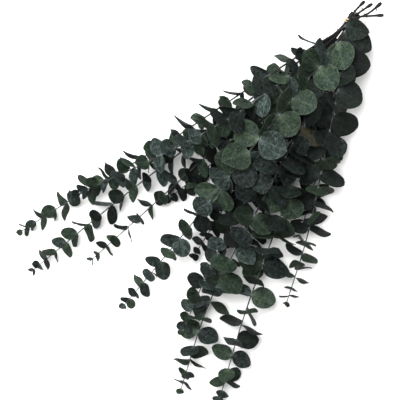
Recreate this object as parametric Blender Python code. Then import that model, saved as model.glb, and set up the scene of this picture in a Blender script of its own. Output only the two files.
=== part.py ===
"""A bunch of dried round-leaved eucalyptus, lying on a flat surface.

Thirteen cut sprigs fan out from a rubber band near their cut ends. Each sprig grew as one piece, so it
is one solid: a tapering stem with opposite pairs of round, stalkless leaves, each pair turned a
quarter turn from the pair before it. Where leaves of neighbouring sprigs would meet, a leaf turns,
lifts or twists aside, as it does in a real bunch, or it has broken off.

Frame: +X runs from the cut ends to the sprig tips, +Z is up, and the origin lies on the surface under
the middle of the bunch. Routes are laid out from the band's centre and the bunch is centred at the end.
"""

import math
import random
from dataclasses import dataclass

import bmesh
import bpy
import numpy as np
from mathutils import Matrix, Quaternion, Vector
from mathutils.bvhtree import BVHTree
from mathutils.geometry import convex_hull_2d, interpolate_bezier

# Driving dimensions, in metres.
BUNDLE_HEIGHT = 0.027  # centre of the tied stems above the surface
STEM_PITCH = 0.0036  # centre to centre of neighbouring stems under the band
BAND_REACH = 0.006  # the stems run straight this far each side of the band's centre
STEM_RADIUS_BASE = 0.00130
STEM_RADIUS_TIP = 0.00050
STEM_SIDES = 6
BARE_STEP = 0.011  # ring spacing along the leafless butt
LEAF_THICKNESS = 0.0013  # of a full-grown leaf at its middle
LEAF_SMALLEST = 0.0085  # leaves open small at the tip and grow towards the base
LEAF_GROWTH = 0.040  # distance from the tip over which a leaf reaches most of its size
PITCH_SMALLEST = 0.0090  # spacing of the pairs at the tip
PITCH_LARGEST = 0.0215
PITCH_GROWTH = 0.030
CLEARANCE = 0.0006  # kept between a leaf and anything that isn't its own stem
LEAF_SWELL = 1.045  # a leaf is tested this much larger than it is made
BAND_STRAND = 0.0007  # radius of one strand of the rubber band
BAND_TURNS = 3
BAND_POINTS = 60
BAND_ROOM = 0.00325  # from the middles of the outermost stems to the middle of the band's lay
BAND_LAY_ALONG = 0.0022  # the turns lie beside one another by this much
BAND_LAY_OVER = 0.0010  # and over one another by this much
SEARCH_STEPS = 70  # positions tried for a leaf before it counts as broken off


@dataclass(frozen=True)
class Sprig:
    """One cut sprig. Points are (along, across, height) from the band's centre line on the surface.
    A pair of values holds from the band to the sprig's middle, and at its tip."""

    name: str
    slot: tuple  # place in the tied bundle, in stem pitches (across, up)
    behind: tuple  # the cut end, and any points between it and the band
    through: tuple  # points that the stem passes on its way to the tip
    tip: tuple
    first_leaf: float  # distance from the band to the first pair
    leaf: tuple  # diameter of a full-grown leaf
    crowding: float  # 1 for the usual spacing of pairs, less where they sit closer
    quarter: float  # turn of the first pair about the stem, in degrees; 0 is level
    facing: tuple  # 1 where blades have turned their broad side up, 0 where they stand square to the stem
    rise: tuple  # angle from square to the stem towards its tip, in degrees
    width: tuple = (1.0, 0.94)  # of a blade, as a share of its length
    lone: tuple = ()  # a leaf by the band that has lost its partner: its distance, turn, rise and length


# The order is the order of growth: the sprigs on top keep their leaves best.
SPRIGS = (
    Sprig("sprig_centre_top", (0.5, 1.25), ((-0.047, 0.022, 0.0330), (-0.022, 0.0140, 0.0315)),
          ((0.110, -0.006, 0.050), (0.235, -0.019, 0.058), (0.380, -0.032, 0.042)),
          (0.515, -0.047, 0.020), 0.036, (0.040, 0.028), 1.0, 20, (0.95, 0.60), (20, 34), (1.0, 0.94),
          (0.016, 178, 10, 0.036)),
    Sprig("sprig_right_outer", (1.5, -0.4), ((-0.014, 0.0075, 0.0250),),
          ((0.067, 0.029, 0.036), (0.160, 0.066, 0.040), (0.285, 0.116, 0.028)),
          (0.385, 0.146, 0.016), 0.037, (0.036, 0.031), 0.92, 98, (0.90, 0.0), (20, 5), (1.0, 0.94),
          (0.019, 188, 12, 0.036)),
    Sprig("sprig_left_outer", (0.0, 2.20), ((-0.032, 0.034, 0.0430), (-0.021, 0.0180, 0.0385)),
          ((0.062, -0.026, 0.042), (0.175, -0.075, 0.046), (0.300, -0.129, 0.036), (0.410, -0.184, 0.024)),
          (0.508, -0.229, 0.013), 0.058, (0.029, 0.029), 0.98, 12, (0.0, 0.25), (40, 38), (0.84, 0.80),
          (0.009, 188, -20, 0.040)),
    Sprig("sprig_centre_long", (1.0, 0.4), ((-0.016, 0.0060, 0.0285),),
          ((0.110, 0.018, 0.044), (0.270, 0.034, 0.044), (0.440, 0.052, 0.026)),
          (0.572, 0.088, 0.013), 0.028, (0.037, 0.035), 1.05, 12, (0.70, 0.22), (14, 14), (1.0, 0.96)),
    Sprig("sprig_right_long", (0.5, -0.4), ((-0.019, 0.0035, 0.0250),),
          ((0.110, 0.028, 0.030), (0.270, 0.066, 0.030), (0.430, 0.104, 0.024)),
          (0.553, 0.142, 0.013), 0.035, (0.037, 0.037), 1.08, 5, (0.50, 0.28), (34, 10)),
    Sprig("sprig_left_middle", (-1.0, 0.4), ((-0.037, 0.001, 0.0270), (-0.020, -0.0025, 0.0283)),
          ((0.090, -0.031, 0.033), (0.205, -0.070, 0.034), (0.380, -0.132, 0.024)),
          (0.545, -0.184, 0.013), 0.072, (0.029, 0.028), 1.0, 30, (0.05, 0.25), (42, 36), (0.84, 0.80)),
    Sprig("sprig_left_short", (-0.5, 1.25), ((-0.039, 0.012, 0.0312), (-0.020, 0.0040, 0.0320)),
          ((0.045, -0.0105, 0.037), (0.090, -0.023, 0.052), (0.180, -0.054, 0.064), (0.290, -0.110, 0.053)),
          (0.425, -0.194, 0.037), 0.080, (0.032, 0.029), 0.98, 15, (0.50, 0.05), (42, 36), (0.90, 0.80)),
    Sprig("sprig_centre_middle", (0.0, 0.4), ((-0.017, 0.0022, 0.0285),),
          ((0.110, 0.004, 0.040), (0.250, 0.012, 0.040), (0.400, 0.026, 0.030)),
          (0.500, 0.044, 0.018), 0.036, (0.037, 0.030), 0.98, 35, (0.65, 0.45), (40, 26)),
    Sprig("sprig_left_inner", (-1.5, -0.4), ((-0.015, -0.0055, 0.0250),),
          ((0.090, -0.020, 0.022), (0.215, -0.052, 0.020), (0.350, -0.086, 0.018)),
          (0.486, -0.122, 0.012), 0.065, (0.030, 0.024), 1.08, 70, (0.15, 0.05), (42, 30), (0.86, 0.80)),
    Sprig("sprig_left_under", (-1.0, -1.25), ((-0.016, -0.003, 0.0217),),
          ((0.110, -0.011, 0.015), (0.220, -0.038, 0.014), (0.300, -0.061, 0.013)),
          (0.352, -0.078, 0.012), 0.075, (0.034, 0.034), 0.90, 40, (0.30, 0.30), (38, 30), (0.90, 0.86)),
    Sprig("sprig_right_short", (1.0, -1.25), ((-0.015, 0.0055, 0.0215),),
          ((0.090, 0.036, 0.021), (0.190, 0.075, 0.020)),
          (0.295, 0.109, 0.015), 0.026, (0.034, 0.030), 0.86, 0, (0.60, 0.10), (30, 10)),
    Sprig("sprig_right_under", (-0.5, -0.4), ((-0.015, -0.001, 0.0250),),
          ((0.110, 0.014, 0.028), (0.220, 0.034, 0.024)),
          (0.345, 0.064, 0.016), 0.030, (0.034, 0.030), 0.86, 55, (0.50, 0.40), (38, 24)),
    Sprig("sprig_centre_under", (0.0, -1.25), ((-0.018, 0.001, 0.0217),),
          ((0.110, -0.003, 0.020), (0.240, -0.006, 0.018)),
          (0.400, -0.002, 0.015), 0.040, (0.034, 0.028), 0.86, 25, (0.50, 0.40), (38, 24)),
)  # fmt: skip


def clear_scene():
    for old in list(bpy.data.objects):
        bpy.data.objects.remove(old, do_unlink=True)


def material(name, colour, roughness):
    made = bpy.data.materials.new(name)
    made.use_nodes = True
    shader = made.node_tree.nodes["Principled BSDF"]
    shader.inputs["Base Color"].default_value = (*colour, 1.0)
    shader.inputs["Roughness"].default_value = roughness
    shader.inputs["Metallic"].default_value = 0.0
    made.diffuse_color = (*colour, 1.0)
    return made


def smooth_route(points, steps=24):
    """A smooth line through the points: Bezier spans whose handles follow the neighbouring points."""
    points = [Vector(p) for p in points]
    tangents = []
    for i in range(len(points)):
        before, after = points[max(i - 1, 0)], points[min(i + 1, len(points) - 1)]
        tangents.append((after - before).normalized())
    line = [points[0]]
    for (a, b), (ta, tb) in zip(zip(points, points[1:]), zip(tangents, tangents[1:])):
        reach = (b - a).length / 3
        line += interpolate_bezier(a, a + ta * reach, b - tb * reach, b, steps)[1:]
    return line


class Stem:
    """The line of one stem, measured by the distance along it from its cut end."""

    def __init__(self, sprig):
        across, up = (s * STEM_PITCH for s in sprig.slot)
        held = (across, BUNDLE_HEIGHT + up)
        band = [(-BAND_REACH, *held), (BAND_REACH, *held)]
        self.line = smooth_route([*sprig.behind, *band, *sprig.through, sprig.tip])
        steps = [(b - a).length for a, b in zip(self.line, self.line[1:])]
        self.reach = np.concatenate([[0.0], np.cumsum(steps)])
        self.length = float(self.reach[-1])
        in_front = [r for r, p in zip(self.reach, self.line) if p.x > 0.0]
        self.band_at = float(in_front[0])
        self.nodes = self.leaf_nodes(sprig)
        self.lone = [self.band_at + sprig.lone[0]] if sprig.lone else []
        self.rings = self.ring_places()

    def leaf_nodes(self, sprig):
        """Distances of the leaf pairs from the cut end, from the tip back to the first pair."""
        leafy = self.length - self.band_at - sprig.first_leaf
        back, from_tip = [], 0.0035
        while from_tip < leafy:
            back.append(from_tip)
            grown = 1 - math.exp(-from_tip / PITCH_GROWTH)
            from_tip += sprig.crowding * (PITCH_SMALLEST + (PITCH_LARGEST - PITCH_SMALLEST) * grown)
        return [self.length - step * leafy / back[-1] for step in back]

    def ring_places(self):
        """A ring of the stem lies midway between neighbouring pairs, and at every step of the bare butt."""
        leafy = self.lone + self.nodes[::-1]
        middles = [(a + b) / 2 for a, b in zip(leafy, leafy[1:])]
        bare_end = leafy[0] - 0.006
        bare = np.linspace(0.0, bare_end, max(2, math.ceil(bare_end / BARE_STEP)) + 1)
        return [*bare, *middles, self.length]

    def point(self, at):
        return Vector([np.interp(at, self.reach, [p[k] for p in self.line]) for k in range(3)])

    def chord_point(self, at):
        """The point at that distance on the straight piece between its two rings, and its direction."""
        after = next(i for i, r in enumerate(self.rings) if r > at - 1e-9)
        low, high = self.rings[after - 1], self.rings[after]
        a, b = self.point(low), self.point(high)
        return a.lerp(b, (at - low) / (high - low)), (b - a).normalized()

    def radius(self, at):
        grown = 1 - at / self.length
        return STEM_RADIUS_TIP + (STEM_RADIUS_BASE - STEM_RADIUS_TIP) * grown**0.8

    def frame(self, at, swell=0.0):
        """The matrix of a ring: its Z along the stem, its X level."""
        step = 0.002
        ahead, behind = self.point(min(at + step, self.length)), self.point(max(at - step, 0.0))
        along = (ahead - behind).normalized()
        side = along.cross(Vector((0, 0, 1))).normalized()
        turned = Matrix((side, side.cross(along) * -1, along)).transposed().to_4x4()
        return Matrix.Translation(self.point(at)) @ turned

    def tube(self, swell=0.0):
        """The stem as a bmesh: rings bridged in turn, with its first and last ring capped."""
        made = bmesh.new()
        loops = []
        last = len(self.rings) - 1
        for i, at in enumerate(self.rings):
            ring = bmesh.ops.create_circle(
                made, cap_ends=i in (0, last), segments=STEM_SIDES,
                radius=self.radius(at) + swell, matrix=self.frame(at),
            )  # fmt: skip
            corners = set(ring["verts"])
            loops.append([e for e in made.edges if corners.issuperset(e.verts)])
        for a, b in zip(loops, loops[1:]):
            bmesh.ops.bridge_loops(made, edges=a + b)
        bmesh.ops.recalc_face_normals(made, faces=made.faces)
        return made


def leaf_template():
    """A thin lens with eight corners round its edge: its points, in leaf lengths, and its triangles.
    X runs from the leaf's foot to its apex, Y across it, and Z out of its upper side."""
    lens = bmesh.new()
    bmesh.ops.create_uvsphere(lens, u_segments=8, v_segments=2, radius=0.5)
    bmesh.ops.recalc_face_normals(lens, faces=lens.faces)
    points = np.array([v.co for v in lens.verts]) + [0.5, 0.0, 0.0]
    faces = [[v.index for v in f.verts] for f in lens.faces]
    lens.free()
    return points, faces


class Leaf:
    """One leaf, held at its foot by the stem."""

    def __init__(self, foot, along, out, length, width, rise, twist, cup, curl, shape):
        points, self.faces = shape
        reach = out * math.cos(rise) + along * math.sin(rise)
        upper = along * math.cos(rise) - out * math.sin(rise)
        upper = Quaternion(reach, twist) @ upper
        self.turn = np.array([reach, upper.cross(reach), upper])
        self.foot, self.length, self.width = foot, length, width
        self.thick = LEAF_THICKNESS * (0.35 + 0.65 * length / 0.036)
        self.flat, self.cup, self.curl = points, cup, curl
        self.points = self.bent(1.0, 0.0)
        self.centre = Vector(self.points.mean(axis=0))
        self.spread = max((Vector(p) - self.centre).length for p in self.points)

    def bent(self, swell, extra):
        """The leaf's points, cupped across and curled along, in place."""
        x, y, z = (self.flat * [1.0, swell, 1.0]).T
        x = 0.5 + (x - 0.5) * swell
        lift = self.cup * y**2 - self.curl * x**2
        thick = np.sign(z) * (np.abs(z) > 0.25) * (self.thick + extra) / 2
        across = y * self.length * self.width
        local = np.stack([x * self.length, across, lift * self.length + thick], axis=1)
        return local @ self.turn + np.array(self.foot)

    def fits(self, leaves, stems):
        """True if the leaf, a little swollen, is above the surface and touches nothing else."""
        swollen = self.bent(LEAF_SWELL, CLEARANCE)
        if self.points[:, 2].min() < 0.0:
            return False
        tree = BVHTree.FromPolygons(swollen.tolist(), self.faces)
        if any(tree.overlap(stem) for stem in stems):
            return False
        for other in leaves:
            near = (other.centre - self.centre).length < other.spread + self.spread
            if near and tree.overlap(other.tree):
                return False
        return True

    def settle(self):
        self.tree = BVHTree.FromPolygons(self.points.tolist(), self.faces)


def leaf_length(full, from_tip, rng):
    grown = 1 - math.exp(-from_tip / LEAF_GROWTH)
    size = LEAF_SMALLEST + (full - LEAF_SMALLEST) * grown
    return size * rng.uniform(0.90, 1.08)


def along_sprig(pair, share):
    """The value at a share of the way from band to tip: the first until the middle, then over to the second."""
    blend = min(max((share - 0.42) / 0.36, 0.0), 1.0)
    blend = blend * blend * (3 - 2 * blend)
    return pair[0] + (pair[1] - pair[0]) * blend


def grow_leaf(sprig, stem, at, azimuth, length, leaves, obstacles, shape, rng, set_rise=None):
    """Turns a leaf further and further from its natural place until it fits, or returns None."""
    foot, along = stem.chord_point(at)
    level = along.cross(Vector((0, 0, 1))).normalized()
    share = (at - stem.band_at) / (stem.length - stem.band_at)
    young = math.exp(-(stem.length - at) / 0.012)
    rise = math.radians(along_sprig(sprig.rise, share) + rng.gauss(0, 9) + 25 * young)
    facing = min(max(along_sprig(sprig.facing, share) + rng.gauss(0, 0.24), -0.3), 1.0)
    width = along_sprig(sprig.width, share) * rng.uniform(0.92, 1.06)
    if set_rise is not None:
        rise, facing = math.radians(set_rise), 1.0
    for step in range(SEARCH_STEPS):
        loose = step / SEARCH_STEPS
        turn = azimuth + rng.gauss(0, math.radians(7 + 42 * loose))
        out = Quaternion(along, turn) @ level
        lift = rise + rng.gauss(0, math.radians(4 + 26 * loose))
        lift = min(max(lift, math.radians(-20)), math.radians(72))
        twist = leaf_twist(along, out, lift, facing, rng, loose)
        smaller = 1.0 - 0.16 * loose
        leaf = Leaf(
            foot + out * stem.radius(at) * 0.2, along, out, length * smaller, width, lift, twist,
            rng.uniform(0.05, 0.50), rng.uniform(-0.04, 0.16), shape,
        )  # fmt: skip
        if leaf.fits(leaves, obstacles):
            leaf.settle()
            return leaf
    return None


def leaf_twist(along, out, rise, facing, rng, loose):
    """The turn of a blade about its own length that brings its broad side partly up, as drying leaves lie."""
    reach = out * math.cos(rise) + along * math.sin(rise)
    upper = along * math.cos(rise) - out * math.sin(rise)
    up = Vector((0, 0, 1)) - reach * reach.z
    if up.length < 0.05:
        return rng.gauss(0, math.radians(12 + 40 * loose))
    to_sky = math.atan2(reach.dot(upper.cross(up)), upper.dot(up))
    if to_sky > math.pi / 2:
        to_sky -= math.pi
    if to_sky < -math.pi / 2:
        to_sky += math.pi
    return facing * to_sky + rng.gauss(0, math.radians(8 + 40 * loose))


def mesh_of(points, faces, name):
    mesh = bpy.data.meshes.new(name)
    mesh.from_pydata(points, [], faces)
    return mesh


def shaded(mesh, angle=40):
    mesh.shade_smooth()
    mesh.set_sharp_from_angle(angle=math.radians(angle))
    return mesh


def add_object(name, mesh, *materials):
    made = bpy.data.objects.new(name, mesh)
    for finish in materials:
        made.data.materials.append(finish)
    bpy.context.scene.collection.objects.link(made)
    return made


def grow_leaves(sprig, stem, leaves, obstacles, shape):
    """The leaves of one sprig, from its tip back. Each pair is a quarter turn from the one before."""
    rng = random.Random(sprig.name)
    own = []
    if sprig.lone:
        _, turn, rise, length = sprig.lone
        at, turn = stem.lone[0], math.radians(turn)
        leaf = grow_leaf(sprig, stem, at, turn, length, leaves, obstacles, shape, random.Random(1), rise)
        if leaf:
            leaves.append(leaf)
            own.append(leaf)
    for pair, at in enumerate(stem.nodes):
        from_first = len(stem.nodes) - 1 - pair
        turn = math.radians(sprig.quarter) + from_first * math.pi / 2 + rng.gauss(0, 0.14)
        share = (at - stem.band_at) / (stem.length - stem.band_at)
        full = along_sprig(sprig.leaf, share)
        for side in (0.0, math.pi):
            length = leaf_length(full, stem.length - at, rng)
            leaf = grow_leaf(sprig, stem, at, turn + side, length, leaves, obstacles, shape, rng)
            if leaf:
                leaves.append(leaf)
                own.append(leaf)
    return own


def blades_mesh(own, name):
    points, faces = [], []
    for leaf in own:
        faces += [[i + len(points) for i in face] for face in leaf.faces]
        points += leaf.points.tolist()
    return mesh_of(points, faces, name)


def taut_loop():
    """A taut loop round the tied stems, by the distance along it: its reach, places and outward normals."""
    turns = [2 * math.pi * i / 24 for i in range(24)]
    rim = [
        Vector(sprig.slot) * STEM_PITCH + Vector((math.cos(a), math.sin(a))) * BAND_ROOM
        for sprig in SPRIGS for a in turns
    ]  # fmt: skip
    hull = np.array([rim[i] for i in convex_hull_2d(rim)])
    loop = np.vstack([hull, hull[:1]])
    steps = np.diff(loop, axis=0)
    reach = np.concatenate([[0.0], np.cumsum(np.linalg.norm(steps, axis=1))])
    outward = np.stack([steps[:, 1], -steps[:, 0]], axis=1)
    outward /= np.linalg.norm(outward, axis=1)[:, None]
    if np.sum(outward * (hull - hull.mean(axis=0))) < 0:
        outward *= -1
    return reach / reach[-1], loop, np.vstack([outward, outward[:1]])


def band_line():
    """The rubber band's line: a closed loop wound several times round the bundle, like a rope's lay."""
    reach, loop, outward = taut_loop()
    line = []
    for i in range(BAND_POINTS):
        lay = 2 * math.pi * i / BAND_POINTS
        at = BAND_TURNS * i / BAND_POINTS % 1.0
        place, normal = (
            np.array([np.interp(at, reach, column) for column in table.T]) for table in (loop, outward)
        )
        across, up = place + normal * BAND_LAY_OVER * math.cos(lay)
        line.append(Vector((BAND_LAY_ALONG * math.sin(lay), across, up + BUNDLE_HEIGHT)))
    return line


def band_object(latex):
    curve = bpy.data.curves.new("rubber_band", "CURVE")
    curve.dimensions = "3D"
    curve.bevel_depth = BAND_STRAND
    curve.bevel_resolution = 1
    line = band_line()
    spline = curve.splines.new("POLY")
    spline.points.add(len(line) - 1)
    for point, place in zip(spline.points, line):
        point.co = (*place, 1.0)
    spline.use_cyclic_u = True
    guide = bpy.data.objects.new("band_guide", curve)
    mesh = bpy.data.meshes.new_from_object(guide)
    bpy.data.objects.remove(guide)
    mesh.materials.clear()
    return add_object("rubber_band", shaded(mesh), latex)


def tree_of(made):
    return BVHTree.FromBMesh(made)


def join_leaves(stem_object, blades):
    """The leaves grow out of the stem: one solid."""
    blades.hide_render = True
    blades.display_type = "WIRE"
    union = stem_object.modifiers.new("leaves", "BOOLEAN")
    union.operation = "UNION"
    union.solver = "EXACT"
    union.material_mode = "TRANSFER"
    union.object = blades


def centre_bunch(objects):
    """Puts the origin on the surface, under the middle of the bunch."""
    corners = np.concatenate([np.array([v.co for v in o.data.vertices]) for o in objects])
    low, high = corners.min(axis=0), corners.max(axis=0)
    shift = Vector((-(low[0] + high[0]) / 2, -(low[1] + high[1]) / 2, -low[2]))
    for part in objects:
        part.data.transform(Matrix.Translation(shift))


def main():
    clear_scene()
    bark = material("dried_bark", (0.075, 0.060, 0.048), 0.75)
    blade = material("dried_leaf", (0.045, 0.075, 0.052), 0.6)
    latex = material("latex", (0.62, 0.42, 0.20), 0.55)
    shape = leaf_template()
    stems = {sprig.name: Stem(sprig) for sprig in SPRIGS}
    trees = {name: tree_of(stem.tube(CLEARANCE)) for name, stem in stems.items()}
    band = band_object(latex)
    band_tree = BVHTree.FromPolygons(
        [v.co for v in band.data.vertices], [p.vertices[:] for p in band.data.polygons]
    )
    leaves, parts = [], [band]
    for sprig in SPRIGS:
        obstacles = [tree for name, tree in trees.items() if name != sprig.name] + [band_tree]
        own = grow_leaves(sprig, stems[sprig.name], leaves, obstacles, shape)
        mesh = bpy.data.meshes.new(sprig.name)
        stems[sprig.name].tube().to_mesh(mesh)
        stem_object = add_object(sprig.name, shaded(mesh), bark, blade)
        blades = add_object(f"{sprig.name}_blades", blades_mesh(own, "blades"), blade)
        join_leaves(stem_object, blades)
        parts += [stem_object, blades]
        print(f"{sprig.name}: {len(own)} leaves on {len(stems[sprig.name].nodes)} pairs")
    centre_bunch(parts)


main()
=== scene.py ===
"""A bunch of dried eucalyptus: thirteen leafy sprigs held by a rubber band, lying on a pale floor.

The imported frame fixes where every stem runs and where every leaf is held. Each sprig gets a finer stem
with swollen joints and cut ends, and thin bent leaves with their own outline, veins and wax bloom.
"""

import logging
import math
import random
from collections import Counter, defaultdict
from collections.abc import Iterable, Iterator
from dataclasses import dataclass, field
from enum import Enum

import bmesh
import bpy
import numpy as np
from mathutils import Matrix, Vector


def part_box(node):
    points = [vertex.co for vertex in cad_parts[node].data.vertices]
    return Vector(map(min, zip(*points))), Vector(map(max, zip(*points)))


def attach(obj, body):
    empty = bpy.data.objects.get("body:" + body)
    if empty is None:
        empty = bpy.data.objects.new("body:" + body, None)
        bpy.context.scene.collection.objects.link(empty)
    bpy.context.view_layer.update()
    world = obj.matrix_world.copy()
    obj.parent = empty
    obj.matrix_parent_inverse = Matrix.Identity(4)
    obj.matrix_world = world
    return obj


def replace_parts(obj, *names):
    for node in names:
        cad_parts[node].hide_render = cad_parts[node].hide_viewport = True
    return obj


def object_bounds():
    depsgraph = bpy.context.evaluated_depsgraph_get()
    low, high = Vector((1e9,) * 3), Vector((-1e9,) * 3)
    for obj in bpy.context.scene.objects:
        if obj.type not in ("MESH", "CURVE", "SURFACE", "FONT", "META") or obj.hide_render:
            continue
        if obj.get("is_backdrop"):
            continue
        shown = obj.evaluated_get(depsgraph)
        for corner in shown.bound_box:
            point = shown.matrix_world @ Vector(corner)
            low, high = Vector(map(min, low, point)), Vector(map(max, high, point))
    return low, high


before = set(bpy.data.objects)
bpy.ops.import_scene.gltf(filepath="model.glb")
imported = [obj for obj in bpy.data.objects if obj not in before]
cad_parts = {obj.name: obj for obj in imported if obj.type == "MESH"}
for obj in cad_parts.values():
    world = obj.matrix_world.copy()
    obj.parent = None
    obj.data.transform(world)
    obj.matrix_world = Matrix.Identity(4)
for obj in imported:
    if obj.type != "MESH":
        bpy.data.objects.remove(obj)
CAD_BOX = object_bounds()

LOG = logging.getLogger("eucalyptus")
BODY = "root"
MM = 0.001


# ---------------------------------------------------------------- finishes


def linear(code: str) -> tuple[float, float, float, float]:
    """Turns a colour into the linear values that a shader takes.

    Args:
        code: The colour as six sRGB hex digits.

    Returns:
        Linear red, green, blue and an alpha of one.
    """
    parts = [int(code[i : i + 2], 16) / 255 for i in (0, 2, 4)]
    red, green, blue = (p / 12.92 if p <= 0.04045 else ((p + 0.055) / 1.055) ** 2.4 for p in parts)
    return red, green, blue, 1.0


def add_node(
    tree: bpy.types.NodeTree, kind: str, inputs: dict | None = None, **settings: object
) -> bpy.types.Node:
    """Adds a node with its settings and links.

    Args:
        tree: The material's node tree.
        kind: The type name of the node.
        inputs: By socket name or number, its value or the output that feeds it.
        **settings: The node's own properties.

    Returns:
        The new node.
    """
    node = tree.nodes.new(kind)
    for name, value in settings.items():
        setattr(node, name, value)
    for socket, value in (inputs or {}).items():
        if isinstance(value, bpy.types.NodeSocket):
            tree.links.new(value, node.inputs[socket])
        else:
            node.inputs[socket].default_value = value
    return node


def new_material(name: str) -> tuple[bpy.types.Material, bpy.types.NodeTree]:
    """Makes an empty node material.

    Args:
        name: The common name of the real material.

    Returns:
        The material and its node tree.
    """
    material = bpy.data.materials.new(name)
    material.use_nodes = True
    material.node_tree.nodes.clear()
    return material, material.node_tree


def layered(
    tree: bpy.types.NodeTree, base: object, layers: Iterable[tuple[object, object]]
) -> bpy.types.NodeSocket:
    """Lays colours over each other.

    Args:
        tree: The material's node tree.
        base: The lowest colour, as a value or an output.
        layers: From the lowest up, how much of a colour shows, and that colour.

    Returns:
        The colour output on top.
    """
    for share, colour in layers:
        mixed = add_node(tree, "ShaderNodeMix", {0: share, 6: base, 7: colour}, data_type="RGBA")
        base = mixed.outputs[2]
    return base


class Tone(Enum):
    """How a leaf has kept its colour."""

    GREEN = 0
    BLUE_GREY = 1
    DARK = 2
    BROWNED = 3


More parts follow.
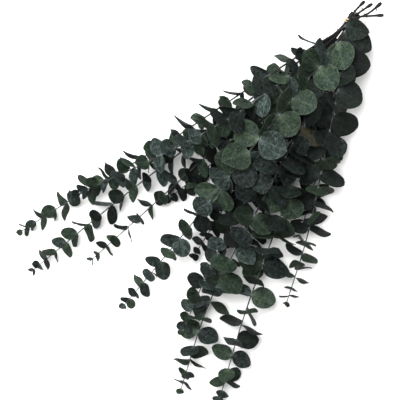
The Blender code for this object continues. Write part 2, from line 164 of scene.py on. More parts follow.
@dataclass(frozen=True)
class LeafFinish:
    """A preserved eucalyptus leaf: leathery and dull, with a grey wax bloom that has rubbed off in patches.

    The bloom gives the cloudy mottle, the shrunk skin the dark crackle and flecks, and the dye has taken
    unevenly, so each blade drifts from one colour to another. The rim and the foot stay paler.
    """

    name: str
    deep: str
    body: str
    bloom: str
    bloom_share: float
    rim: str
    drift: str
    drift_share: float
    mottle_size: float = 7.0 * MM
    film_size: float = 5.0 * MM
    fleck_size: float = 2.6 * MM
    drift_size: float = 13.0 * MM
    crackle_size: float = 4.0 * MM  # coarser than the real skin, whose cells of 1 mm are too fine to show
    vein_step: float = 0.085
    fleck_share: float = 0.58
    crackle_share: float = 0.50
    midrib_share: float = 0.16
    vein_share: float = 0.32
    rim_share: float = 0.16
    foot_share: float = 0.50

    def build(self) -> bpy.types.Material:
        """Makes the material.

        Returns:
            The leaf's material.
        """
        material, tree = new_material(self.name)
        place = add_node(tree, "ShaderNodeTexCoord").outputs["Object"]
        mottle = self.cloud(tree, place, self.mottle_size, (0.34, 0.56))
        film = self.cloud(tree, place, self.film_size, (0.45, 0.56))
        fleck = self.cloud(tree, place, self.fleck_size, (0.50, 0.60))
        drift = self.cloud(tree, place, self.drift_size, (0.42, 0.58))
        crackle = self.crackle(tree, place)
        midrib, veins = self.veins(tree, place)
        rim, foot = self.edges(tree)
        shares = {
            name: add_node(
                tree, "ShaderNodeMath", {0: mask, 1: strength}, operation="MULTIPLY"
            ).outputs[0]
            for name, mask, strength in (
                ("film", film, self.bloom_share),
                ("drift", drift, self.drift_share),
                ("fleck", fleck, self.fleck_share),
                ("crackle", crackle, self.crackle_share),
                ("midrib", midrib, self.midrib_share),
                ("veins", veins, self.vein_share),
                ("rim", rim, self.rim_share),
                ("foot", foot, self.foot_share),
            )
        }
        colour = layered(
            tree,
            linear(self.deep),
            [
                (mottle, linear(self.body)),
                (shares["film"], linear(self.bloom)),
                (shares["drift"], linear(self.drift)),
                (shares["fleck"], linear(self.deep)),
                (shares["crackle"], linear(self.deep)),
                (shares["veins"], linear(self.deep)),
                (shares["midrib"], linear(self.rim)),
                (shares["rim"], linear(self.rim)),
                (shares["foot"], linear(self.rim)),
            ],
        )
        # The tone value darkens or brightens each leaf: a random lightness times its sprig's factor, which
        # is painted shade on the sprigs under the bunch and painted light on the top ones.
        tone = add_node(tree, "ShaderNodeAttribute", attribute_name="tone").outputs["Fac"]
        toned = add_node(tree, "ShaderNodeHueSaturation", {"Value": tone, "Color": colour})
        shader = add_node(
            tree,
            "ShaderNodeBsdfPrincipled",
            {
                "Base Color": toned.outputs[0],
                "Roughness": self.roughness(tree, film),
                "Specular IOR Level": 0.10,
                "IOR": 1.45,
                "Normal": self.relief(tree, place, film, crackle, midrib, veins),
            },
        )
        add_node(tree, "ShaderNodeOutputMaterial", {"Surface": shader.outputs[0]})
        return material

    def cloud(
        self, tree: bpy.types.NodeTree, place: object, size: float, span: tuple[float, float]
    ) -> bpy.types.NodeSocket:
        """Makes soft patches.

        Args:
            tree: The material's node tree.
            place: The output that gives the place on the piece.
            size: How large a patch is, in metres.
            span: The pattern's values where a patch starts and where it is full.

        Returns:
            An output from 0 to 1.
        """
        noise = add_node(
            tree,
            "ShaderNodeTexNoise",
            {"Vector": place, "Scale": 1 / size, "Detail": 5.0, "Roughness": 0.62, "Distortion": 0.4},
        )
        fitted = add_node(
            tree, "ShaderNodeMapRange", {0: noise.outputs[0], 1: span[0], 2: span[1], 3: 0.0, 4: 1.0}
        )
        return fitted.outputs[0]

    def crackle(self, tree: bpy.types.NodeTree, place: object) -> bpy.types.NodeSocket:
        """Makes the net of fine dark lines in the shrunk skin.

        Args:
            tree: The material's node tree.
            place: The output that gives the place on the piece.

        Returns:
            An output that is 1 on a line.
        """
        stir = add_node(
            tree, "ShaderNodeTexNoise", {"Vector": place, "Scale": 1 / self.crackle_size, "Detail": 3.0}
        )
        swayed = add_node(
            tree,
            "ShaderNodeVectorMath",
            {0: stir.outputs["Color"], 1: (1.6 * self.crackle_size,) * 3, 2: place},
            operation="MULTIPLY_ADD",
        )
        cells = add_node(
            tree,
            "ShaderNodeTexVoronoi",
            {"Vector": swayed.outputs[0], "Scale": 1 / self.crackle_size},
            feature="DISTANCE_TO_EDGE",
        )
        line = add_node(
            tree, "ShaderNodeMapRange", {0: cells.outputs[0], 1: 0.02, 2: 0.14, 3: 1.0, 4: 0.0}
        )
        return line.outputs[0]

    def veins(
        self, tree: bpy.types.NodeTree, place: object
    ) -> tuple[bpy.types.NodeSocket, bpy.types.NodeSocket]:
        """Makes the midrib and the side veins, which leave it at about half a right angle.

        Args:
            tree: The material's node tree.
            place: The output that gives the place on the piece.

        Returns:
            Outputs that are 1 on the midrib and on a side vein.
        """
        blade = add_node(tree, "ShaderNodeUVMap", uv_map="blade").outputs[0]
        split = add_node(tree, "ShaderNodeSeparateXYZ", {0: blade})
        centred = add_node(
            tree, "ShaderNodeMath", {0: split.outputs[1], 1: 0.5}, operation="SUBTRACT"
        )
        aside = add_node(tree, "ShaderNodeMath", {0: centred.outputs[0]}, operation="ABSOLUTE")
        midrib = add_node(
            tree, "ShaderNodeMapRange", {0: aside.outputs[0], 1: 0.006, 2: 0.030, 3: 1.0, 4: 0.0}
        )
        slant = add_node(
            tree,
            "ShaderNodeMath",
            {0: aside.outputs[0], 1: -1.05, 2: split.outputs[0]},
            operation="MULTIPLY_ADD",
        )
        stir = add_node(
            tree, "ShaderNodeTexNoise", {"Vector": place, "Scale": 1 / (6.0 * MM), "Detail": 2.0}
        )
        swayed = add_node(
            tree,
            "ShaderNodeMath",
            {0: stir.outputs[0], 1: 0.09, 2: slant.outputs[0]},
            operation="MULTIPLY_ADD",
        )
        step = add_node(
            tree,
            "ShaderNodeMath",
            {0: swayed.outputs[0], 1: self.vein_step / 2},
            operation="PINGPONG",
        )
        line = add_node(
            tree, "ShaderNodeMapRange", {0: step.outputs[0], 1: 0.002, 2: 0.014, 3: 1.0, 4: 0.0}
        )
        return midrib.outputs[0], line.outputs[0]

    def edges(
        self, tree: bpy.types.NodeTree
    ) -> tuple[bpy.types.NodeSocket, bpy.types.NodeSocket]:
        """Finds the leaf's thin rim and its foot.

        Args:
            tree: The material's node tree.

        Returns:
            Outputs that are 1 at the rim and at the foot.
        """
        rim = add_node(tree, "ShaderNodeAttribute", attribute_name="rim").outputs["Fac"]
        thin = add_node(tree, "ShaderNodeMapRange", {0: rim, 1: 0.80, 2: 1.0, 3: 0.0, 4: 1.0})
        foot = add_node(tree, "ShaderNodeAttribute", attribute_name="foot").outputs["Fac"]
        return thin.outputs[0], foot

    def roughness(self, tree: bpy.types.NodeTree, film: object) -> bpy.types.NodeSocket:
        """Makes bare skin a little glossier than wax.

        Args:
            tree: The material's node tree.
            film: The output that gives where the wax is.

        Returns:
            The roughness output.
        """
        return add_node(
            tree, "ShaderNodeMapRange", {0: film, 1: 0.0, 2: 1.0, 3: 0.50, 4: 0.74}
        ).outputs[0]

    def relief(
        self,
        tree: bpy.types.NodeTree,
        place: object,
        film: object,
        crackle: object,
        midrib: object,
        veins: object,
    ) -> bpy.types.NodeSocket:
        """Raises the wax and the veins, and sinks the crackle.

        Args:
            tree: The material's node tree.
            place: The output that gives the place on the piece.
            film: Where the wax is.
            crackle: Where the skin is cracked.
            midrib: Where the midrib is.
            veins: Where the side veins are.

        Returns:
            The bent normal.
        """
        pebble = add_node(
            tree, "ShaderNodeTexNoise", {"Vector": place, "Scale": 1 / (2.6 * MM), "Detail": 2.0}
        )
        height = pebble.outputs[0]
        for mask, rise in ((film, 0.30), (crackle, -0.55), (midrib, 0.60), (veins, 0.35)):
            height = add_node(
                tree, "ShaderNodeMath", {0: mask, 1: rise, 2: height}, operation="MULTIPLY_ADD"
            ).outputs[0]
        return add_node(
            tree, "ShaderNodeBump", {"Strength": 0.7, "Distance": 0.45 * MM, "Height": height}
        ).outputs[0]


@dataclass(frozen=True)
class BarkFinish:
    """The thin bark of a young eucalyptus stem: dark and fibrous, with white wax left round the joints."""

    name: str = "young eucalyptus bark"
    deep: str = "0B0909"
    body: str = "1B1716"
    bloom: str = "656C6E"

    def build(self) -> bpy.types.Material:
        """Makes the material.

        Returns:
            The bark's material.
        """
        material, tree = new_material(self.name)
        grain = add_node(tree, "ShaderNodeAttribute", attribute_name="grain").outputs["Vector"]
        waxed = add_node(tree, "ShaderNodeAttribute", attribute_name="bloom").outputs["Fac"]
        place = add_node(tree, "ShaderNodeTexCoord").outputs["Object"]
        fibre = add_node(
            tree, "ShaderNodeTexNoise", {"Vector": grain, "Scale": 1 / (0.5 * MM), "Detail": 3.0}
        )
        patch = add_node(
            tree, "ShaderNodeTexNoise", {"Vector": place, "Scale": 1 / (3.0 * MM), "Detail": 4.0}
        )
        rubbed = add_node(
            tree, "ShaderNodeMapRange", {0: patch.outputs[0], 1: 0.36, 2: 0.60, 3: 0.15, 4: 1.0}
        )
        wax = add_node(
            tree, "ShaderNodeMath", {0: rubbed.outputs[0], 1: waxed}, operation="MULTIPLY"
        )
        colour = layered(
            tree,
            linear(self.deep),
            [(fibre.outputs[0], linear(self.body)), (wax.outputs[0], linear(self.bloom))],
        )
        rough = add_node(
            tree, "ShaderNodeMapRange", {0: fibre.outputs[0], 1: 0.3, 2: 0.7, 3: 0.55, 4: 0.78}
        )
        relief = add_node(
            tree,
            "ShaderNodeBump",
            {"Strength": 0.8, "Distance": 0.25 * MM, "Height": fibre.outputs[0]},
        )
        shader = add_node(
            tree,
            "ShaderNodeBsdfPrincipled",
            {
                "Base Color": colour,
                "Roughness": rough.outputs[0],
                "Specular IOR Level": 0.18,
                "Normal": relief.outputs[0],
            },
        )
        add_node(tree, "ShaderNodeOutputMaterial", {"Surface": shader.outputs[0]})
        return material


@dataclass(frozen=True)
class CutWoodFinish:
    """A stem's end, cut across with secateurs and dried: pale pith, darkened in its pores and in patches."""

    name: str = "dried cut stem wood"
    pith: str = "8A7B63"
    rays: str = "54493C"

    def build(self) -> bpy.types.Material:
        """Makes the material.

        Returns:
            The cut wood's material.
        """
        material, tree = new_material(self.name)
        place = add_node(tree, "ShaderNodeTexCoord").outputs["Object"]
        pores = add_node(
            tree, "ShaderNodeTexVoronoi", {"Vector": place, "Scale": 1 / (0.35 * MM)}
        )
        patch = add_node(
            tree, "ShaderNodeTexNoise", {"Vector": place, "Scale": 1 / (1.2 * MM), "Detail": 3.0}
        )
        colour = layered(
            tree,
            linear(self.pith),
            [(pores.outputs[0], linear(self.rays)), (patch.outputs[0], linear(self.rays))],
        )
        relief = add_node(
            tree,
            "ShaderNodeBump",
            {"Strength": 0.6, "Distance": 0.12 * MM, "Height": pores.outputs[0]},
        )
        shader = add_node(
            tree,
            "ShaderNodeBsdfPrincipled",
            {"Base Color": colour, "Roughness": 0.85, "Normal": relief.outputs[0]},
        )
        add_node(tree, "ShaderNodeOutputMaterial", {"Surface": shader.outputs[0]})
        return material


@dataclass(frozen=True)
class LatexFinish:
    """A band of natural latex rubber: tan, a little translucent, with talc in its dull patches."""

    name: str = "natural latex rubber"
    body: str = "B38A52"
    worn: str = "DDBF90"

    def build(self) -> bpy.types.Material:
        """Makes the material.

        Returns:
            The rubber's material.
        """
        material, tree = new_material(self.name)
        place = add_node(tree, "ShaderNodeTexCoord").outputs["Object"]
        dust = add_node(
            tree, "ShaderNodeTexNoise", {"Vector": place, "Scale": 1 / (2.2 * MM), "Detail": 4.0}
        )
        shown = add_node(
            tree, "ShaderNodeMapRange", {0: dust.outputs[0], 1: 0.35, 2: 0.65, 3: 0.0, 4: 1.0}
        )
        colour = layered(tree, linear(self.body), [(shown.outputs[0], linear(self.worn))])
        rough = add_node(
            tree, "ShaderNodeMapRange", {0: shown.outputs[0], 1: 0.0, 2: 1.0, 3: 0.38, 4: 0.66}
        )
        relief = add_node(
            tree, "ShaderNodeBump", {"Strength": 0.4, "Distance": 0.1 * MM, "Height": dust.outputs[0]}
        )
        shader = add_node(
            tree,
            "ShaderNodeBsdfPrincipled",
            {
                "Base Color": colour,
                "Roughness": rough.outputs[0],
                "IOR": 1.52,
                "Subsurface Weight": 0.25,
                "Subsurface Scale": 0.6 * MM,
                "Subsurface Radius": (1.0, 0.55, 0.30),
                "Normal": relief.outputs[0],
            },
        )
        add_node(tree, "ShaderNodeOutputMaterial", {"Surface": shader.outputs[0]})
        return material


@dataclass(frozen=True)
class FloorFinish:
    """A sheet of matt white studio paper."""

    name: str = "matt white paper"
    body: str = "F4F4F3"

    def build(self) -> bpy.types.Material:
        """Makes the material.

        Returns:
            The floor's material.
        """
        material, tree = new_material(self.name)
        shader = add_node(
            tree,
            "ShaderNodeBsdfPrincipled",
            {"Base Color": linear(self.body), "Roughness": 0.95, "Specular IOR Level": 0.1},
        )
        add_node(tree, "ShaderNodeOutputMaterial", {"Surface": shader.outputs[0]})
        return material


LEAF_FINISHES = {
    Tone.GREEN: LeafFinish(
        name="preserved eucalyptus leaf, green", deep="0D150F", body="2B3A2C", bloom="43523F",
        bloom_share=0.60, rim="5F6C5C", drift="2A3331", drift_share=0.50,
    ),
    Tone.BLUE_GREY: LeafFinish(
        name="preserved eucalyptus leaf, blue-grey", deep="0A0F10", body="222A28", bloom="475251",
        bloom_share=0.85, rim="5D6765", drift="27332A", drift_share=0.60,
    ),
    Tone.DARK: LeafFinish(
        name="preserved eucalyptus leaf, dark", deep="070909", body="171D1B", bloom="2C3432",
        bloom_share=0.65, rim="3E4642", drift="1B2419", drift_share=0.50,
    ),
    Tone.BROWNED: LeafFinish(
        name="preserved eucalyptus leaf, browned", deep="12120E", body="2D2E26", bloom="45473E",
        bloom_share=0.65, rim="54503C", drift="4A4230", drift_share=0.42,
    ),
}  # fmt: skip


# ---------------------------------------------------------------- what the frame fixes


@dataclass
class LeafPlace:
    """Where one leaf is held and how it bends, in whole-leaf steps from its foot."""

    foot: Vector
    reach: Vector  # from the foot to the apex
    side: Vector  # across the whole blade
    cup: Vector  # with the square of the way across
    curl: Vector  # with the square of the way along

    @property
    def length(self) -> float:
        """The blade's length in metres."""
        return self.reach.length

    @property
    def upper(self) -> Vector:
        """The direction out of the blade's upper side."""
        return self.reach.cross(self.side).normalized()

    def point(self, x: float, y: float, lift: float) -> Vector:
        """Gives a point of the blade.

        Args:
            x: The way from foot to apex, 0 to 1.
            y: The way across, -0.5 to 0.5.
            lift: The height over the bent blade, in leaf lengths.

        Returns:
            The point in metres.
        """
        bent = self.cup * y * y + self.curl * x * x
        return self.foot + self.reach * x + self.side * y + bent + self.upper * (lift * self.length)


class PackedSprig:
    """Reads a packed sprig: the line and thickness of its stem, and the place of every leaf."""

    CORNERS = np.radians([135, 90, 45, 0, -45, -90, -135])  # where a rim's corners lie about its middle
    RIM = [(0.5 + 0.5 * math.cos(a), 0.5 * math.sin(a)) for a in CORNERS]
    SHARP = math.radians(140)  # from here on an edge belongs to a rim
    MERGED = 1e-6  # points closer than this are one
    RING_SIDES = 6
    RING_WIDE = 2.9 * MM  # no ring is wider, and no two rings are closer
    PAIR_APART = 2.2 * MM  # leaves held closer than this along the stem are a pair

    def __init__(self, node: bpy.types.Object) -> None:
        """Reads one node.

        Args:
            node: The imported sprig's object, which stays as it is.
        """
        shell = bmesh.new()
        shell.from_mesh(node.data)
        bmesh.ops.remove_doubles(shell, verts=shell.verts, dist=self.MERGED)
        whole = len(self.RIM)
        chains = [self.inner(chain) for chain in self.rims(shell) if len(chain) >= whole]
        poles = [self.poles(chain) for chain in chains]
        self.leaves = [self.place(chain, pair) for chain, pair in zip(chains, poles)]
        blades = {v for chain, pair in zip(chains, poles) for v in (*chain, *pair)}
        faces = {face for v in blades for face in v.link_faces}
        touched = {v for face in faces for v in face.verts}
        self.centres, self.radii = self.rings([v.co.copy() for v in shell.verts if v not in touched])
        shell.free()
        self.reach = np.concatenate(
            [[0.0], np.cumsum([(b - a).length for a, b in zip(self.centres, self.centres[1:])])]
        )

    def rims(self, shell: bmesh.types.BMesh) -> Iterator[list[bmesh.types.BMVert]]:
        """Follows the sharp rims of the blades.

        Args:
            shell: The merged mesh of the sprig.

        Yields:
            The points of each rim in order.
        """
        links = defaultdict(list)
        for edge in shell.edges:
            if len(edge.link_faces) == 2 and edge.calc_face_angle_signed() > self.SHARP:
                a, b = edge.verts
                links[a].append(b)
                links[b].append(a)
        seen = set()
        for start in list(links):
            if len(links[start]) != 1 or start in seen:
                continue
            chain = [start]
            while chain:
                seen.add(chain[-1])
                ahead = [v for v in links[chain[-1]] if v not in seen]
                if not ahead:
                    break
                chain.append(ahead[0])
            yield chain

    def inner(self, chain: list[bmesh.types.BMVert]) -> list[bmesh.types.BMVert]:
        """Drops the ends of a rim, which lie where the blade meets the stem.

        Args:
            chain: The rim's points in order.

        Returns:
            The seven whole corners of the rim.
        """
        chain = list(chain)
        while len(chain) > len(self.RIM):
            first = (chain[0].co - chain[1].co).length
            last = (chain[-1].co - chain[-2].co).length
            chain.pop(0 if first < last else -1)
        return chain

    def poles(self, chain: list[bmesh.types.BMVert]) -> list[bmesh.types.BMVert]:
        """Finds the middle of a blade's upper and lower side.

        Args:
            chain: The seven corners of its rim.

        Returns:
            The two points that the corners share.
        """
        shared = Counter(
            edge.other_vert(v) for v in chain for edge in v.link_edges if edge.other_vert(v) not in chain
        )
        return [v for v, _ in shared.most_common(2)]

    def place(self, chain: list[bmesh.types.BMVert], poles: list[bmesh.types.BMVert]) -> LeafPlace:
        """Fits a bent blade to the corners of its rim and its middle.

        Args:
            chain: The seven corners of its rim.
            poles: The middle of its upper and its lower side.

        Returns:
            The leaf's place.
        """
        steps = np.array([*self.RIM, (0.5, 0.0)])
        x, y = steps.T
        middle = (poles[0].co + poles[1].co) / 2
        points = np.array([*(v.co for v in chain), middle])
        table = np.stack([np.ones(len(points)), x, y, y * y, x * x], axis=1)
        fitted = np.linalg.lstsq(table, points, rcond=None)[0]
        foot, reach, side, cup, curl = (Vector(row) for row in fitted)
        if reach.cross(side).z < 0:
            side.negate()
        return LeafPlace(foot, reach, side, cup, curl)

    def rings(self, bare: list[Vector]) -> tuple[list[Vector], list[float]]:
        """Sorts the stem's points into its rings.

        Args:
            bare: The points that no blade touches.

        Returns:
            The centre and the radius of each ring, from the cut end to the tip.
        """
        left, whole = list(bare), []
        while left:
            start = left[0]
            ring = [p for p in left if (p - start).length < self.RING_WIDE]
            left = [p for p in left if (p - start).length >= self.RING_WIDE]
            if len(ring) == self.RING_SIDES:
                whole.append((sum(ring, Vector()) / self.RING_SIDES, ring))
        whole.sort(key=lambda pair: pair[0].x)
        centres = [centre for centre, _ in whole]
        radii = [sum((p - centre).length for p in ring) / len(ring) for centre, ring in whole]
        return centres, radii

    def at(self, reach: float) -> Vector:
        """Gives the point of the stem's line at a distance from the cut end."""
        return Vector([np.interp(reach, self.reach, [c[k] for c in self.centres]) for k in range(3)])

    def radius(self, reach: float) -> float:
        """Gives the stem's radius at a distance from the cut end."""
        return float(np.interp(reach, self.reach, self.radii))

    def station(self, point: Vector) -> float:
        """Finds the place on the stem that is nearest to a point.

        Args:
            point: The point.

        Returns:
            That place's distance from the cut end, in metres.
        """
        best = (math.inf, 0.0)
        for start, a, b in zip(self.reach, self.centres, self.centres[1:]):
            share = min(max((point - a).dot(b - a) / (b - a).length_squared, 0.0), 1.0)
            gap = (a.lerp(b, share) - point).length
            best = min(best, (gap, start + share * (b - a).length))
        return best[1]

    def joints(self) -> list[float]:
        """Finds where the leaf pairs are held.

        Returns:
            Their distances from the cut end, in order.
        """
        stations = sorted(self.station(leaf.foot) for leaf in self.leaves)
        pairs: list[list[float]] = []
        for s in stations:
            if pairs and s - pairs[-1][0] < self.PAIR_APART:
                pairs[-1].append(s)
            else:
                pairs.append([s])
        return [sum(p) / len(p) for p in pairs]


# ---------------------------------------------------------------- pieces


def finished(
    name: str, mesh: bpy.types.Mesh, node: str, materials: Iterable[bpy.types.Material]
) -> bpy.types.Object:
    """Adds a piece to the bunch.

    Args:
        name: The piece's name.
        mesh: Its mesh, already in place.
        node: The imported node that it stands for.
        materials: Its materials, by face number.

    Returns:
        The piece's object.
    """
    piece = bpy.data.objects.new(name, mesh)
    bpy.context.scene.collection.objects.link(piece)
    for material in materials:
        mesh.materials.append(material)
    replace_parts(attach(piece, BODY), node)
    return piece


def smooth(mesh: bpy.types.Mesh, angle: float) -> bpy.types.Mesh:
    """Shades a mesh smooth but for its sharp edges.

    Args:
        mesh: The mesh.
        angle: The angle in degrees from which an edge is sharp.

    Returns:
        The same mesh.
    """
    mesh.shade_smooth()
    mesh.set_sharp_from_angle(angle=math.radians(angle))
    return mesh


@dataclass
class Foliage:
    """The leaves of one sprig: thin leathery blades, most of them broadest nearer the foot."""

    sprig: PackedSprig
    name: str
    near: tuple[float, float, float]  # shares of green, blue-grey and dark leaves near the band
    far: tuple[float, float, float]  # the same at the tip
    known: tuple[tuple[int, Tone], ...] = ()  # single leaves, numbered from the cut end
    # per sprig: painted shade makes the sprigs under the bunch darker and painted light makes the top ones
    # lighter
    light: float = 1.0
    thickness: float = 0.40 * MM
    small: float = 16.0 * MM  # up to this length a coarser blade will do
    shoulder: tuple[float, float] = (0.10, 0.09)  # how much broader the foot is: mean and spread
    point: tuple[float, float] = (0.0, 0.05)
    fold: tuple[float, float] = (0.0, 0.22)
    ruffle: tuple[float, float] = (0.012, 0.050)
    phase: tuple[float, float] = (0.0, 6.3)
    lightness: tuple[float, float, float] = (0.26, 1.58, 0.78)  # darkest, lightest, commonest
    pale_foot: tuple[float, float] = (0.26, 0.20)  # along and across, in leaf sizes
    rng: random.Random = field(init=False)

    def __post_init__(self) -> None:
        """Seeds the leaves' small differences by the sprig's name."""
        self.rng = random.Random(self.name)

    def build(self, materials: list[bpy.types.Material]) -> bpy.types.Object:
        """Makes every leaf of the sprig.

        Args:
            materials: The leaf materials in the order of Tone.

        Returns:
            The leaves as one piece.
        """
        sheet = bmesh.new()
        layers = self.layers(sheet)
        placed = sorted((self.sprig.station(p.foot), i, p) for i, p in enumerate(self.sprig.leaves))
        total = self.sprig.reach[-1]
        for number, (station, _, place) in enumerate(placed):
            self.blade(sheet, layers, place, self.tone(number, station / total))
        thin = bpy.data.meshes.new("blades")
        sheet.to_mesh(thin)
        sheet.free()
        return finished(
            f"{self.name}_leaves", self.thickened(thin), self.name, materials
        )

    def layers(self, sheet: bmesh.types.BMesh) -> dict:
        """Gives the sheet its map and the values that the leaf finish reads.

        Args:
            sheet: The mesh that all blades go into.

        Returns:
            The layers by name.
        """
        values = sheet.verts.layers.float
        made = {key: values.new(key) for key in ("tone", "rim", "foot")}
        made["blade"] = sheet.loops.layers.uv.new("blade")
        return made

    def tone(self, number: int, share: float) -> Tone:
        """Chooses how a leaf has kept its colour.

        Args:
            number: The leaf's number from the cut end.
            share: The way from the cut end to the tip.

        Returns:
            The tone.
        """
        if number in dict(self.known):
            return dict(self.known)[number]
        blend = min(max((share - 0.15) / 0.6, 0.0), 1.0)
        weights = [a + (b - a) * blend for a, b in zip(self.near, self.far)]
        return self.rng.choices([Tone.GREEN, Tone.BLUE_GREY, Tone.DARK], weights)[0]

    def blade(self, sheet: bmesh.types.BMesh, layers: dict, place: LeafPlace, tone: Tone) -> None:
        """Adds one blade: a grid rounded off to a leaf's outline, then bent into its place.

        Args:
            sheet: The mesh that all blades go into.
            layers: Its map and values.
            place: The leaf's place.
            tone: How it has kept its colour.
        """
        rng = self.rng
        long = 6 if place.length > self.small else 4
        grid = bmesh.ops.create_grid(sheet, x_segments=long, y_segments=4, size=1.0)["verts"]
        faces = {face for v in grid for face in v.link_faces}
        shoulder, point = rng.gauss(*self.shoulder), rng.uniform(*self.point)
        fold, ruffle, phase = (rng.uniform(*span) for span in (self.fold, self.ruffle, self.phase))
        # the leaf's random lightness times its sprig's factor of painted shade and painted light
        lightness = self.light * rng.triangular(*self.lightness)
        flat = {}
        for v in grid:
            along, across = v.co.x, v.co.y
            dx, dy = along * math.sqrt(1 - across**2 / 2), across * math.sqrt(1 - along**2 / 2)
            turn, out = math.atan2(dy, dx), math.hypot(dx, dy)
            x = 0.5 + 0.5 * dx + point * max(dx, 0.0) ** 3 * (1 - abs(dy)) ** 2
            y = 0.5 * dy * (1 - shoulder * dx)
            lift = fold * abs(y) + ruffle * out**3 * math.sin(3 * turn + phase)
            flat[v] = (x, y)
            v[layers["tone"]] = lightness
            v[layers["rim"]] = 1.0 if max(abs(along), abs(across)) > 0.99 else 0.0
            v[layers["foot"]] = max(0.0, 1 - math.hypot(x / self.pale_foot[0], y / self.pale_foot[1]))
            v.co = place.point(x, y, lift)
        for face in faces:
            face.material_index = tone.value
            for loop in face.loops:
                x, y = flat[loop.vert]
                loop[layers["blade"]].uv = (x, y + 0.5)

    def thickened(self, thin: bpy.types.Mesh) -> bpy.types.Mesh:
        """Gives the flat blades their thickness.

        Args:
            thin: The blades as single sheets.

        Returns:
            The blades as closed solids.
        """
        carrier = bpy.data.objects.new("blades", thin)
        bpy.context.scene.collection.objects.link(carrier)
        wall = carrier.modifiers.new("blade thickness", "SOLIDIFY")
        wall.thickness, wall.offset = self.thickness, 0.0
        ready = carrier.evaluated_get(bpy.context.evaluated_depsgraph_get())
        mesh = bpy.data.meshes.new_from_object(ready)
        bpy.data.objects.remove(carrier)
        return smooth(mesh, 42)


@dataclass
class Stem:
    """One stem: a tapering twig with a swollen ring at every leaf pair, a cut end and a bud at its tip."""

    sprig: PackedSprig
    name: str
    sides: int = 8
    swelling: float = 1.42
    girth: float = 1.14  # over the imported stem, for the bark's unevenness
    wax: float = 0.14  # between the young leaf pairs
    joint_wax: float = 0.85
    joint_wax_reach: float = 2.6 * MM
    bare_wax: float = 0.02
    bare: float = 8.0 * MM  # how far before the first leaf pair the stem is bare
    waxless: float = 140.0 * MM  # the oldest wood, which has shed its wax
    butt: float = 1.0  # how much the knot by the cut end has swollen
    knot: float = 4.5 * MM  # how far the knot is from the cut end
    step: float = 6.0 * MM
    clear: float = 1.6 * MM  # a plain ring keeps this far from a joint's rings
    closest: float = 0.25 * MM  # of two rings closer than this, one is left out
    unevenness: tuple[float, float] = (0.94, 1.08)
    scar_step: tuple[float, float] = (7.0 * MM, 12.0 * MM)
    rng: random.Random = field(init=False)

    def __post_init__(self) -> None:
        """Seeds the stem's small differences by the sprig's name."""
        self.rng = random.Random(self.name + " stem")
        self.joints = self.sprig.joints()

    def build(self, bark: bpy.types.Material, wood: bpy.types.Material) -> bpy.types.Object:
        """Makes the stem.

        Args:
            bark: The material of its sides.
            wood: The material of its cut ends.

        Returns:
            The stem as one piece.
        """
        twig = bmesh.new()
        self.bloom = twig.verts.layers.float.new("bloom")
        self.grain = twig.verts.layers.float_vector.new("grain")
        loops = [self.ring(twig, *section) for section in self.sections()]
        for a, b in zip(loops, loops[1:]):
            bmesh.ops.bridge_loops(twig, edges=a + b)
        for loop, index in ((loops[0], 1), (loops[-1], 0)):
            for face in bmesh.ops.edgeloop_fill(twig, edges=loop)["faces"]:
                face.material_index = index
        self.bud(twig)
        self.scars(twig)
        bmesh.ops.recalc_face_normals(twig, faces=twig.faces)
        mesh = bpy.data.meshes.new(f"{self.name}_stem")
        twig.to_mesh(mesh)
        twig.free()
        return finished(f"{self.name}_stem", smooth(mesh, 50), self.name, (bark, wood))

    def sections(self) -> list[tuple[float, float, float]]:
        """Lists the stem's rings.

        Returns:
            For each, its distance from the cut end, its radius and how much wax it bears.
        """
        total = float(self.sprig.reach[-1])
        first = self.joints[0] if self.joints else total
        knotted = 4 * self.knot
        fine, plain = np.arange(0.0, knotted, self.knot / 3), np.arange(knotted, total, self.step)
        swelling = (
            (-2.4, 1.0),
            (-0.9, 0.6 + 0.4 * self.swelling),
            (0.0, self.swelling),
            (1.0, 1.12),
            (2.6, 1.0),
        )  # along the stem, in its radii, and how much thicker it is there
        marks = {}
        for joint in self.joints:
            r = self.sprig.radius(joint)
            for shift, swell in swelling:
                marks[joint + shift * r] = swell
        for reach in (*fine, *plain, total):
            if all(abs(reach - mark) > self.clear for mark in marks):
                marks[reach] = 1.0
        rows = []
        for reach in sorted(m for m in marks if 0.0 <= m <= total):
            if rows and reach - rows[-1][0] < self.closest:
                continue
            near = min((abs(reach - j) for j in self.joints), default=1.0)
            shed = self.wax * min(max((reach - first) / self.waxless, 0.1), 1.0)
            wax = shed + (self.joint_wax - shed) * math.exp(-((near / self.joint_wax_reach) ** 2))
            if reach < first - self.bare:
                wax = self.bare_wax
            swollen = math.exp(-(((reach - self.knot) / self.knot) ** 2))
            grown = 1.0 + (self.butt - 1.0) * swollen
            radius = self.sprig.radius(reach) * self.girth * marks[reach] * grown
            radius *= self.rng.uniform(*self.unevenness)
            rows.append((reach, radius, wax))
        return rows

    def heading(self, reach: float) -> Matrix:
        """Gives the place of a ring.

        Args:
            reach: Its distance from the cut end.

        Returns:
            A matrix with its Z along the stem.
        """
        ahead, behind = self.sprig.at(reach + 3 * MM), self.sprig.at(reach - 3 * MM)
        along = (ahead - behind).normalized()
        side = along.cross(Vector((0, 0, 1))).normalized()
        turned = Matrix((side, along.cross(side), along)).transposed().to_4x4()
        return Matrix.Translation(self.sprig.at(reach)) @ turned

    def ring(
        self, twig: bmesh.types.BMesh, reach: float, radius: float, wax: float
    ) -> list[bmesh.types.BMEdge]:
        """Adds one ring of the stem.

        Args:
            twig: The stem's mesh.
            reach: Its distance from the cut end.
            radius: Its radius.
            wax: How much white wax it bears.

        Returns:
            The ring's edges.
        """
        made = bmesh.ops.create_circle(
            twig, segments=self.sides, radius=radius, matrix=self.heading(reach)
        )["verts"]
        for i, v in enumerate(made):
            turn = 2 * math.pi * i / self.sides
            v[self.bloom] = wax
            v[self.grain] = Vector((math.cos(turn) * radius, math.sin(turn) * radius, reach * 0.14))
        return list(dict.fromkeys(edge for v in made for edge in v.link_edges))  # in the same order each run

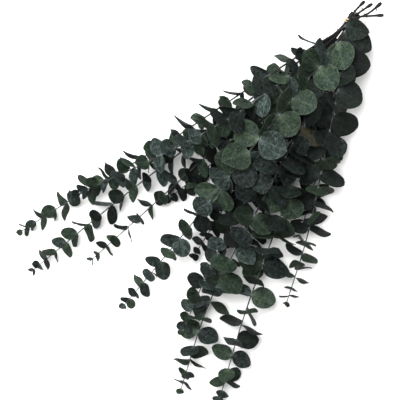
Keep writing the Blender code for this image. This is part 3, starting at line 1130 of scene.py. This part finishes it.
    def bud(self, twig: bmesh.types.BMesh) -> None:
        """Adds the closed bud at the stem's tip.

        Args:
            twig: The stem's mesh.
        """
        end = self.heading(float(self.sprig.reach[-1]) - 0.2 * MM)
        shape = Matrix.Translation((0, 0, 0.9 * MM)) @ Matrix.Diagonal((0.8, 0.55, 1.7, 1.0))
        made = bmesh.ops.create_uvsphere(
            twig, u_segments=6, v_segments=5, radius=1.0 * MM, matrix=end @ shape
        )["verts"]
        for v in made:
            v[self.bloom] = 0.5

    def scars(self, twig: bmesh.types.BMesh) -> None:
        """Adds the stubs of stripped leaf pairs on a long bare butt.

        Args:
            twig: The stem's mesh.
        """
        bare = (self.joints[0] if self.joints else 0.0) - 10 * MM
        reach = 2.5 * MM
        side = self.rng.uniform(0, math.pi)
        while reach < bare:
            base = self.heading(reach)
            for turn in (side, side + math.pi):
                if self.rng.random() < 0.25:
                    continue
                self.stub(twig, base, turn, self.sprig.radius(reach))
            side += math.pi / 2
            reach += self.rng.uniform(*self.scar_step)

    def stub(self, twig: bmesh.types.BMesh, base: Matrix, turn: float, radius: float) -> None:
        """Adds one stub: a short tapering stalk with a blunt end.

        Args:
            twig: The stem's mesh.
            base: The stem's place there.
            turn: The stub's direction about the stem.
            radius: The stem's radius there.
        """
        long = self.rng.uniform(1.8, 4.6) * MM
        lean = math.radians(self.rng.uniform(38, 62))
        tilt = Matrix.Rotation(turn, 4, "Z") @ Matrix.Rotation(lean, 4, "Y")
        shift = Matrix.Translation((0, 0, long / 2 + radius * 0.4))
        made = bmesh.ops.create_cone(
            twig, cap_ends=True, segments=6, radius1=radius * 0.62, radius2=radius * 0.52,
            depth=long, matrix=base @ tilt @ shift,
        )["verts"]  # fmt: skip
        for v in made:
            v[self.bloom] = 0.05


@dataclass
class RubberBand:
    """A rubber band of round strand, wound three times round the stems."""

    node: str = "rubber_band"
    rounding: int = 2

    def build(self, latex: bpy.types.Material) -> bpy.types.Object:
        """Makes the band.

        Args:
            latex: Its material.

        Returns:
            The band as one piece.
        """
        strand = bmesh.new()
        strand.from_mesh(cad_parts[self.node].data)
        bmesh.ops.remove_doubles(strand, verts=strand.verts, dist=1e-6)
        bmesh.ops.join_triangles(
            strand, faces=strand.faces, angle_face_threshold=math.radians(40),
            angle_shape_threshold=math.radians(40),
        )  # fmt: skip
        mesh = bpy.data.meshes.new("rubber_band_strand")
        strand.to_mesh(mesh)
        strand.free()
        mesh.shade_smooth()
        piece = finished("rubber_band_strand", mesh, self.node, (latex,))
        turned = piece.modifiers.new("round strand", "SUBSURF")
        turned.levels = turned.render_levels = self.rounding
        return piece


# ---------------------------------------------------------------- the sprigs


@dataclass(frozen=True)
class SprigLook:
    """How the leaves of one sprig have kept their colour, and the painted shade and painted light that
    darken the sprigs under the bunch and lighten the top ones.
    """

    node: str
    near: tuple[float, float, float]
    far: tuple[float, float, float]
    # painted shade darkens the sprigs under the bunch, and painted light lightens the top ones
    light: float = 1.0
    known: tuple[tuple[int, Tone], ...] = ()
    butt: float = 1.0  # how much the knot by its cut end has swollen


# The fourth value is painted shade and light: below 1 it darkens the sprigs that lie under the bunch, above
# 1 it lightens the top and left ones.
LOOKS = (
    SprigLook("sprig_centre_top", (0.88, 0.04, 0.08), (0.25, 0.60, 0.15), 1.08, ((0, Tone.DARK),), 1.9),
    SprigLook("sprig_centre_long", (0.10, 0.15, 0.75), (0.45, 0.35, 0.20), 0.94, ((5, Tone.BROWNED),)),
    SprigLook("sprig_centre_middle", (0.25, 0.45, 0.30), (0.25, 0.60, 0.15), 0.85),
    SprigLook("sprig_centre_under", (0.20, 0.20, 0.60), (0.40, 0.35, 0.25), 0.62),
    SprigLook("sprig_right_outer", (0.15, 0.10, 0.75), (0.60, 0.15, 0.25), 0.84),
    SprigLook("sprig_right_long", (0.20, 0.20, 0.60), (0.50, 0.30, 0.20), 0.94),
    SprigLook("sprig_right_short", (0.30, 0.15, 0.55), (0.50, 0.20, 0.30), 0.72),
    SprigLook("sprig_right_under", (0.15, 0.15, 0.70), (0.35, 0.25, 0.40), 0.62),
    SprigLook("sprig_left_outer", (0.35, 0.25, 0.40), (0.50, 0.30, 0.20), 1.15, ((0, Tone.DARK),), 1.8),
    SprigLook("sprig_left_middle", (0.20, 0.20, 0.60), (0.45, 0.30, 0.25), 1.12, (), 1.8),
    SprigLook("sprig_left_short", (0.45, 0.20, 0.35), (0.40, 0.40, 0.20), 1.08, (), 1.7),
    SprigLook("sprig_left_inner", (0.15, 0.25, 0.60), (0.35, 0.40, 0.25), 0.98),
    SprigLook("sprig_left_under", (0.15, 0.20, 0.65), (0.20, 0.20, 0.60), 0.65),
)


# ---------------------------------------------------------------- the studio


@dataclass
class Studio:
    """A white floor, an even white sky, one large soft lamp, and a camera that looks straight down."""

    reach: float = 0.328  # from the tie to the middle of the view, along the bunch
    aside: float = -0.0388
    height: float = 1.9
    wide: float = 0.568  # of the floor that the view takes in
    sky: float = 0.90
    lamp_power: float = 62.0
    lamp_size: float = 1.3

    def build(self) -> None:
        """Makes the floor, the lights and the camera."""
        low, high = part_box("rubber_band")
        tie = (low + high) / 2
        self.aim = Vector((tie.x + self.reach, tie.y + self.aside, 0.030))
        self.right = Vector((-0.55, 0.835, 0.0)).normalized()
        self.up = Vector((-0.835, -0.55, 0.0)).normalized()
        self.floor()
        self.lights()
        self.camera()

    def floor(self) -> None:
        """Lays the floor."""
        sheet = bmesh.new()
        bmesh.ops.create_grid(sheet, x_segments=2, y_segments=2, size=4.0)
        bmesh.ops.translate(sheet, verts=sheet.verts, vec=(0, 0, -0.0004))
        mesh = bpy.data.meshes.new("floor")
        sheet.to_mesh(mesh)
        sheet.free()
        mesh.materials.append(FloorFinish().build())
        floor = bpy.data.objects.new("floor", mesh)
        bpy.context.scene.collection.objects.link(floor)
        floor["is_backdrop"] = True

    def lights(self) -> None:
        """Sets the sky and the lamp."""
        world = bpy.data.worlds.new("studio")
        world.use_nodes = True
        world.node_tree.nodes.clear()
        sky = add_node(
            world.node_tree, "ShaderNodeBackground", {0: (1.0, 1.0, 1.0, 1.0), 1: self.sky}
        )
        add_node(world.node_tree, "ShaderNodeOutputWorld", {0: sky.outputs[0]})
        bpy.context.scene.world = world
        lamp = bpy.data.lights.new("soft_box", "AREA")
        lamp.shape, lamp.size, lamp.energy = "SQUARE", self.lamp_size, self.lamp_power
        box = bpy.data.objects.new("soft_box", lamp)
        box.location = self.aim + self.up * 0.5 - self.right * 0.5 + Vector((0, 0, 1.5))
        box.rotation_mode = "QUATERNION"
        box.rotation_quaternion = (self.aim - box.location).to_track_quat("-Z", "Y")
        bpy.context.scene.collection.objects.link(box)

    def camera(self) -> None:
        """Sets the camera."""
        lens = bpy.data.cameras.new("camera")
        lens.sensor_width = 36.0
        lens.lens = lens.sensor_width * self.height / self.wide
        camera = bpy.data.objects.new("camera", lens)
        turned = Matrix((self.right, self.up, Vector((0, 0, 1)))).transposed().to_4x4()
        camera.matrix_world = Matrix.Translation(self.aim + Vector((0, 0, self.height))) @ turned
        bpy.context.scene.collection.objects.link(camera)
        bpy.context.scene.camera = camera
        bpy.context.scene.view_settings.view_transform = "Standard"
        bpy.context.scene.view_settings.look = "None"


def report(piece: bpy.types.Object) -> None:
    """Logs a piece's name and how many faces it has."""
    LOG.info("%s: %d faces", piece.name, len(piece.data.polygons))


def write_sizes() -> None:
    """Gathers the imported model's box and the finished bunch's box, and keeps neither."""
    boxes = {"cad": CAD_BOX, "visual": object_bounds()}
    {name: [list(corner) for corner in box] for name, box in boxes.items()}


def main() -> None:
    """Builds the studio, the thirteen sprigs and the band, and reports each piece."""
    logging.basicConfig(level=logging.INFO, format="%(message)s")
    Studio().build()
    leaves = [LEAF_FINISHES[tone].build() for tone in Tone]
    bark, wood = BarkFinish().build(), CutWoodFinish().build()
    for look in LOOKS:
        sprig = PackedSprig(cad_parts[look.node])
        report(Stem(sprig, look.node, butt=look.butt).build(bark, wood))
        foliage = Foliage(sprig, look.node, look.near, look.far, look.known, look.light)
        report(foliage.build(leaves))
    report(RubberBand().build(LatexFinish().build()))
    write_sizes()


if __name__ == "__main__":
    main()
